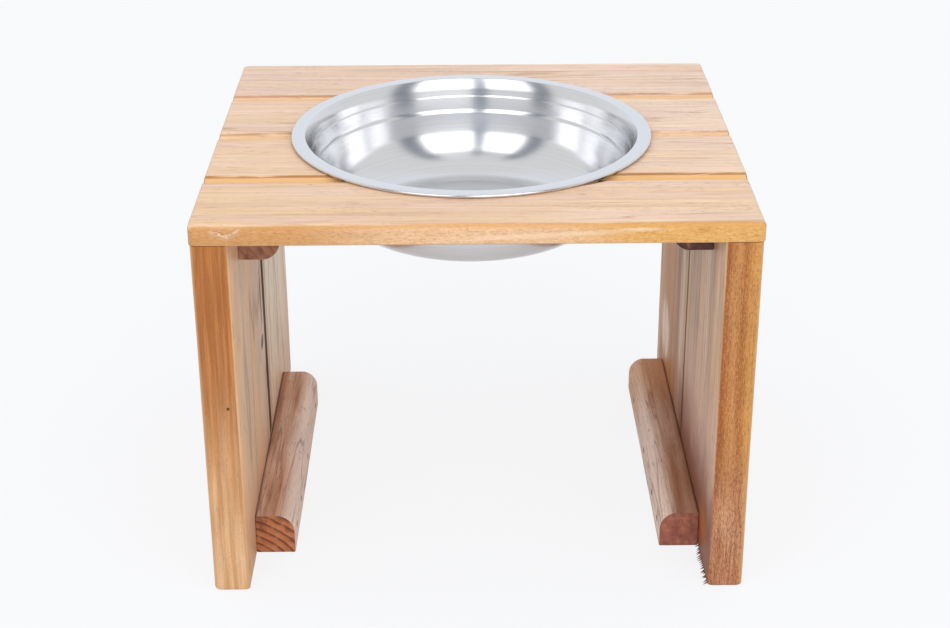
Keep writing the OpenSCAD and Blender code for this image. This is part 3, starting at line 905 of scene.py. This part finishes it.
def make_sides():
    """Two boards to each side."""
    seam_r = {LEFT: 0.5 * MM, RIGHT: 0.4 * MM}
    proud = {LEFT: 1.2 * MM, RIGHT: 0.5 * MM}
    pith_y = {LEFT: (-140, -20), RIGHT: (-135, 25)}
    for side, word in SIDES.items():
        front = side_wood(f"{word}_front_side_wood", side, 5 + side, pith_y[side][0])
        rear = side_wood(f"{word}_rear_side_wood", side, 8 + side, pith_y[side][1])
        side_board(f"{word}_side_front_board", side, SIDE_EDGE, 0.6 * MM, True, front)
        side_board(f"{word}_side_rear_board", side, seam_r[side], SIDE_EDGE, False, rear, proud[side])
        if side == RIGHT:
            make_splinters(front)


# Battens

def batten_section(width, height):
    """Section of a batten as distances from the side and heights: a round-over with a slight ridge."""
    r, ease = 12.5 * MM, 0.7 * MM
    section = [(ease, 0.0), (width - ease, 0.0), (width, ease)]
    section += [(width, v) for v in spread(ease, height - r, 4)[1:-1]]
    for a in spread(radians(2), radians(83), 12):
        section.append((width - r + r * cos(a), height - r + r * sin(a)))
    section += [(u, height - 0.3 * MM) for u in spread(width - r - MM, ease, 7)]
    section += [(0.0, height - ease), (0.0, ease)]
    return section


def nail_spots(side, upper, low, high):
    """Places of the nail heads on a batten, each with the way that its hole faces."""
    free_x = low.x if side == RIGHT else high.x
    z = high.z - NAIL_EDGE if upper else low.z + NAIL_EDGE
    spots = [(Vector((free_x, low.y + mark, z)), Vector((-side, 0, 0))) for mark in NAIL_MARKS]
    if upper:
        for start, end in zip(BOARD_EDGES, BOARD_EDGES[1:]):
            y = (max(low.y, start) + min(high.y, end)) / 2 + TOP_NAIL_LAG
            spots.append((Vector(((low.x + high.x) / 2, y, low.z)), Vector((0, 0, -1))))
    return spots


def drill(piece, spots):
    """Cuts a sunk hole over each nail head."""
    bm = bmesh.new()
    for spot, out in spots:
        turn = out.to_track_quat("Z", "Y").to_matrix().to_4x4()
        place = Matrix.Translation(spot + out * (MM - NAIL_HOLE_DEPTH) / 2) @ turn
        bmesh.ops.create_cone(bm, cap_ends=True, segments=24, radius1=NAIL_HOLE_R, radius2=NAIL_HOLE_R,
                              depth=NAIL_HOLE_DEPTH + MM, matrix=place)
    cutter = finish_mesh("nail_hole_cutter", bm)
    cut = piece.modifiers.new("nail_holes", "BOOLEAN")
    cut.operation = "DIFFERENCE"
    cut.object = cutter
    cut.solver = "EXACT"
    drilled = bpy.data.meshes.new_from_object(piece.evaluated_get(bpy.context.evaluated_depsgraph_get()))
    piece.modifiers.clear()
    piece.data = drilled
    drilled.name = piece.name
    drilled.set_sharp_from_angle(angle=radians(BATTEN_SHARP))
    bpy.data.objects.remove(cutter)


def batten(name, side, upper, material):
    """Batten lofted along its length, the upper ones turned over under the top."""
    low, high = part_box(name)
    section = batten_section(high.x - low.x, high.z - low.z)
    rings = []
    for d in stations(high.y - low.y, BATTEN_STEP, BATTEN_END):
        end = min(d, high.y - low.y - d)
        inset = corner_back(end, 0.8 * MM)
        ring = []
        for u, v in section:
            sway = 0.25 * MM * ripple((u, d, v), 50 * MM, side + 2 * upper)
            u = min(max(u, inset), high.x - low.x - inset) + (sway if u > 5 * MM else 0.0)
            v = min(max(v, inset), high.z - low.z - inset)
            ring.append(Vector((side * (SIDE_IN - u), low.y + d, high.z - v if upper else low.z + v)))
        rings.append(ring)
    piece = loft(name, rings, sharp_angle=BATTEN_SHARP)
    drill(piece, nail_spots(side, upper, low, high))
    dress(piece, material, "stand", "batten_wood", name)


def make_battens():
    """Four battens, each with its own end grain."""
    warm = ((190, 140, 116), (228, 184, 158), (246, 220, 200))
    mauve = ((152, 108, 84), (206, 168, 146), (240, 216, 204))
    red_rings = ((206, 132, 86), (100, 54, 52))
    plain_red = ((174, 110, 92), (130, 74, 62))
    brown = ((178, 128, 102), (112, 68, 52))
    dark = ((112, 76, 72), (76, 48, 48))
    looks = {
        "lower_left_batten": (LEFT, warm, 0.2, (-165, 0, -30), 0.95, red_rings),
        "lower_right_batten": (RIGHT, mauve, 0.65, (220, 0, 40), 0.3, plain_red),
        "upper_left_batten": (LEFT, warm, 0.2, (-170, 0, 190), 0.5, brown),
        "upper_right_batten": (RIGHT, mauve, 0.6, (190, 0, 260), 0.4, dark),
    }
    for seed, (name, (side, *look)) in enumerate(looks.items(), 11):
        upper, box = name.startswith("upper"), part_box(name)
        wood = batten_wood(f"{name}_wood", side, seed, box, nail_spots(side, upper, *box), *look)
        batten(name, side, upper, wood)


# Bowl

def wall_arc(r, z, radius, start, end, steps):
    """Arc of the wall about a centre, with the lean at each point. A radius below 0 makes it hollow."""
    return [(r - radius * cos(t), z + radius * sin(t), t) for t in spread(start, end, steps)]


def wall_turn(r, z, start, end, radius, steps=5):
    """Round at a corner of the wall, whose lean from the upright changes from start to end."""
    bend = radius if end > start else -radius
    back = radius * tan(abs(end - start) / 2)
    centre_r = r - back * sin(start) + bend * cos(start)
    centre_z = z - back * cos(start) - bend * sin(start)
    return wall_arc(centre_r, centre_z, bend, start, end, steps)


def wall_hollow(r, z, start, end, radius, steps):
    """Hollow arc of the wall from a point on it."""
    return wall_arc(r - radius * cos(start), z + radius * sin(start), -radius, start, end, steps)


def bowl_wall():
    """Inner face of the bowl as (radius, height, lean), from the middle of its base to the rim."""
    base_z, knee_z, step_z, shoulder_z = (RIM_Z - drop * MM for drop in (63.5, 36.0, 23.5, 12.5))
    leans = (90, 80, 15, 11.5, 35, 12, 12.5, 35)
    flat, base_lean, knee, wall_top, crease, band, mouth, flare = (radians(lean) for lean in leans)
    wall_r, step_r, shoulder_hollow_r, flare_r = 103.1 * MM, 8 * MM, 3.5 * MM, 22.5 * MM
    def rise(low, high):
        return sin(high) - sin(low)
    def run(low, high):
        return cos(low) - cos(high)
    base_r, knee_r = (knee_z - base_z) / rise(knee, base_lean), (step_z - knee_z) / rise(wall_top, knee)
    knee_start = wall_r - knee_r * run(wall_top, knee)
    base_start = knee_start - base_r * run(knee, base_lean)
    base_arc = wall_hollow(base_start, base_z, base_lean, knee, base_r, 36)
    knee_arc = wall_hollow(knee_start, knee_z, knee, wall_top, knee_r, 10)
    step_arc = wall_hollow(wall_r, step_z, crease, band, step_r, 12)
    shoulder_r = step_arc[-1][0] + (shoulder_z - step_arc[-1][1]) * tan(band)
    shoulder_arc = wall_hollow(shoulder_r, shoulder_z, crease, mouth, shoulder_hollow_r, 8)
    flare_z = RIM_Z - flare_r * rise(mouth, flare)
    flare_foot = shoulder_arc[-1][0] + (flare_z - shoulder_arc[-1][1]) * tan(mouth)
    centre_r, centre_z = flare_foot + flare_r * cos(mouth), flare_z - flare_r * sin(mouth)
    flare_arc = wall_arc(centre_r, centre_z, flare_r, mouth, flare, 14)
    crease_r = 0.7 * MM
    wall = [(0.0, base_z, flat), (base_start - 2 * MM, base_z, flat)]
    wall += wall_turn(base_start, base_z, flat, base_lean, 0.6 * MM) + base_arc[1:] + knee_arc[1:-1]
    wall += wall_turn(wall_r, step_z, wall_top, crease, crease_r) + step_arc[1:]
    wall += wall_turn(shoulder_r, shoulder_z, band, crease, crease_r) + shoulder_arc[1:] + flare_arc[:-1]
    return wall + wall_turn(flare_arc[-1][0], RIM_Z, flare, flat, crease_r)


def bowl_profile():
    """Closed half section of the bowl as radii and heights, from the middle of the base and back."""
    wall = bowl_wall()
    roll = RIM_H / 2
    turns = [radians(a) for a in spread(90, -90, 14)]
    def roll_arc(radius, angles):
        return [(RIM_R - roll + radius * cos(a), RIM_Z - roll + radius * sin(a)) for a in angles]
    inner = [(r, z) for r, z, lean in wall]
    outer = [(r + STEEL * cos(lean), z - STEEL * sin(lean)) for r, z, lean in reversed(wall)]
    outer = [(0.0 if r < MM else r, z) for r, z in outer]
    return inner + roll_arc(roll, turns) + roll_arc(roll - STEEL, turns[::-1]) + outer


def make_bowl():
    """Bowl turned from its profile, leaning forward on the front of its rim."""
    turns = 240
    rest = Vector((BOWL.x, BOWL.y - RIM_R + RIM_H / 2, SEAT_Z))
    tilt = Matrix.Rotation(radians(BOWL_TILT), 4, "X")
    lean = Matrix.Translation(rest) @ tilt @ Matrix.Translation(-rest)
    angles = [2 * pi * i / turns for i in range(turns)]
    bm = bmesh.new()

    def point(r, z, a):
        return bm.verts.new(lean @ Vector((BOWL.x + r * cos(a), BOWL.y + r * sin(a), z)))

    rows = []
    for r, z in bowl_profile():
        on_axis = r == 0.0
        rows.append([point(r, z, 0.0)] * turns if on_axis else [point(r, z, a) for a in angles])
    for row, after in zip(rows, rows[1:]):
        for i in range(turns):
            j = (i + 1) % turns
            corners = dict.fromkeys((row[i], row[j], after[j], after[i]))
            bm.faces.new(list(corners))
    piece = finish_mesh("food_bowl", bm, BOWL_SHARP)
    dress(piece, bowl_steel(), "bowl", "bowl_steel", "food_bowl")


def finish_nails():
    """Steel on the nails, which keep their CAD shape."""
    steel = nail_steel()
    for name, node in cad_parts.items():
        if name.endswith("_nails"):
            node.data.materials.clear()
            node.data.materials.append(steel)


# Stage, light and camera

def make_floor():
    """Wide white floor that keeps the stand's soft shadow."""
    half = 6.0
    corners = [(-half, -half, 0), (half, -half, 0), (half, half, 0), (-half, half, 0)]
    mesh = bpy.data.meshes.new("floor")
    mesh.from_pydata(corners, [], [(0, 1, 2, 3)])
    floor = add_object("floor", mesh)
    floor.location.z = -0.1 * MM
    s = Shader("floor_paper")
    s.set(Base_Color=(0.84, 0.845, 0.86, 1), Roughness=0.9, Specular_IOR_Level=0.1)
    glow = s.fill(s.node("Emission"), Color=(0.975, 0.985, 1.0, 1)).outputs[0]
    rays = s.node("LightPath").outputs
    seen = s.times(rays["Is Camera Ray"], 0.85)
    mirrored = s.times(rays["Is Glossy Ray"], 0.3)
    paper = s.mix_shaders(s.math("MAXIMUM", seen, mirrored), s.bsdf.outputs[0], glow)
    clear = s.node("BsdfTransparent").outputs[0]
    from_below = s.node("NewGeometry").outputs["Backfacing"]
    s.feed(s.tree.nodes["Material Output"].inputs[0], s.mix_shaders(from_below, paper, clear))
    mesh.materials.append(s.material)


def make_world():
    """Pale studio. In the steel it also shows dark strips beside and between the softboxes."""
    world = bpy.data.worlds.new("studio")
    bpy.context.scene.world = world
    world.use_nodes = True
    n = Nodes(world.node_tree)
    x, y, z = n.parts(n.node("TexCoord").outputs["Generated"])
    azimuth = n.math("ARCTAN2", x, n.times(y, -1.0))
    around = n.plus(n.math("DIVIDE", azimuth, 2 * pi), 0.5)
    dusk, gap = (0.22, 0.24, 0.28, 1), (0.22, 0.25, 0.31, 1)
    left_glow, right_glow = (0.72, 0.72, 0.74, 1), (0.90, 0.90, 0.91, 1)
    pale, back, white = (0.82, 0.82, 0.82, 1), (0.90, 0.93, 0.99, 1), (1.0, 1.0, 1.0, 1)
    strips = ((-150, back), (-100, pale), (-64, pale), (-57, dusk), (-48, dusk),
              (-45, left_glow), (-14, left_glow), (-11, gap), (-3, gap), (0, right_glow), (40, right_glow),
              (44, dusk), (55, dusk), (63, pale), (100, pale), (150, back))
    room = n.ramp(around, *((0.5 + degrees / 360, tone) for degrees, tone in strips))
    room = n.mix(n.step(z, 0.86, 0.97), room, pale)
    rays = n.node("LightPath").outputs
    shown = n.mix(rays["Is Diffuse Ray"], room, (0.84, 0.85, 0.87, 1))
    shown = n.mix(rays["Is Camera Ray"], shown, white)
    n.feed(n.tree.nodes["Background"].inputs["Color"], shown)


def make_softbox(name, azimuth, width, power):
    """Upright area light facing the bowl, from an azimuth to the right of the front."""
    distance, low, high = 1.15, TOP_Z + 0.27, TOP_Z + 1.66
    lamp = bpy.data.lights.new(name, "AREA")
    lamp.shape = "RECTANGLE"
    lamp.size, lamp.size_y = width, high - low
    lamp.energy = power
    softbox = add_object(name, lamp)
    away = Vector((sin(radians(azimuth)), -cos(radians(azimuth)), 0))
    softbox.location = BOWL.to_3d() + away * distance + Vector((0, 0, (low + high) / 2))
    softbox.rotation_euler = away.to_track_quat("Z", "Y").to_euler()
    softbox.visible_camera = False


def make_camera():
    """Camera at the photograph's place and angle."""
    image_width, focal_pixels = 950, 1806.36
    yaw, pitch, roll = (radians(a) for a in (-0.467, 24.71, -0.25))
    camera = bpy.data.cameras.new("camera")
    camera.sensor_width = 36.0
    camera.lens = camera.sensor_width * focal_pixels / image_width
    holder = add_object("camera", camera)
    place = Matrix.Translation(Vector((-9.59, -1146.8, 648.5)) * MM)
    turn = Matrix.Rotation(yaw, 4, "Z") @ Matrix.Rotation(pi / 2 - pitch, 4, "X")
    holder.matrix_world = place @ turn @ Matrix.Rotation(roll, 4, "Z")
    bpy.context.scene.camera = holder


make_camera()
make_top()
make_sides()
make_battens()
make_bowl()
finish_nails()
make_floor()
make_world()
make_softbox("left_softbox", azimuth=-29, width=0.70, power=4.2)
make_softbox("right_softbox", azimuth=20, width=0.93, power=5.6)
bpy.context.scene.view_settings.view_transform = "Standard"
